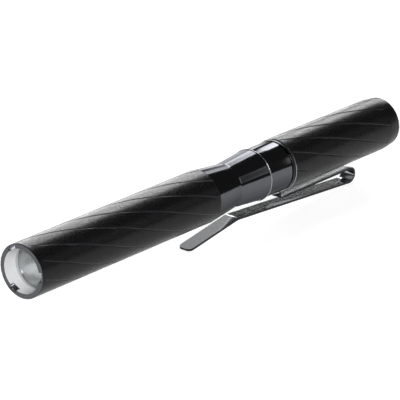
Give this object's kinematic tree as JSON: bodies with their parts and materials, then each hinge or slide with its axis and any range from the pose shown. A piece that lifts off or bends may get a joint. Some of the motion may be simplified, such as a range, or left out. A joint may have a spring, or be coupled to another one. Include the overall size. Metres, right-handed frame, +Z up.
{
  "type": "inspection flashlight",
  "caption": "Pen-shaped inspection flashlight with a notched rim, recessed lens, waisted coupler, screw-on tail with a push button, and a sprung pocket clip.",
  "frame": {"origin": "under the middle of the light, on the surface it stands on", "axes": "+X along the tube towards the lamp, +Z up, away from the pocket clip"},
  "size_m": [0.1398, 0.014, 0.0196],
  "materials": {
    "black_anodised": "satin black anodised aluminium",
    "polished_black": "polished black anodised aluminium",
    "spring_steel": "satin nickel plated spring steel",
    "clear_lens": "clear moulded lens",
    "bright_reflector": "vacuum metallised",
    "led_package": "clear dome on a ceramic package",
    "board": "white solder resist",
    "brass": "turned",
    "spring_wire": "bright drawn wire",
    "black_rubber": "moulded nitrile",
    "pale_silicone": "moulded silicone",
    "black_plastic": "moulded",
    "white_plastic": "moulded",
    "cell_jacket": "printed film over a steel can, at the cell's mean density"
  },
  "bodies": {
    "front": {"front_barrel": "black_anodised", "lens_gasket": "pale_silicone", "lens": "clear_lens", "reflector": "bright_reflector", "led_emitter": "led_package", "led_board": "board", "led_pill": "brass", "driver_board": "board", "front_contact_spring": "spring_wire", "battery_liner": "black_plastic", "front_cell": "cell_jacket", "rear_cell": "cell_jacket", "waist_coupler": "polished_black", "clip_base": "spring_steel"},
    "clip": {"clip_arm": "spring_steel"},
    "tail_seal": {"tail_seal_ring": "black_rubber"},
    "tail": {"tail_tube": "black_anodised", "tail_spring": "spring_wire", "switch_retaining_ring": "brass", "spring_plate": "board", "switch_body": "black_plastic", "button_seal": "black_rubber"},
    "button": {"tail_button": "black_anodised", "switch_plunger": "white_plastic"}
  },
  "joints": [
    {"name": "clip_flex", "type": "hinge", "parent": "front", "child": "clip", "pos_m": [-0.0532, 0, 0.0003], "axis": [0, 1, 0], "range_deg": [0, 5], "stiffness_Nm_per_rad": 2.6},
    {"name": "tail_withdraw", "type": "slide", "parent": "front", "child": "tail_seal", "axis": [-1, 0, 0], "range_m": [0, 0.005]},
    {"name": "tail_unscrew", "type": "hinge", "parent": "tail_seal", "child": "tail", "pos_m": [-0.0465, 0, 0.0126], "axis": [-1, 0, 0], "range_deg": [0, 1800]},
    {"name": "button_press", "type": "slide", "parent": "tail", "child": "button", "axis": [1, 0, 0], "range_m": [0, 0.0012], "stiffness_N_per_m": 1500}
  ],
  "couplings": [
    {"joint": "tail_unscrew", "follows": "tail_withdraw", "rad_per_m": 6283.2}
  ]
}
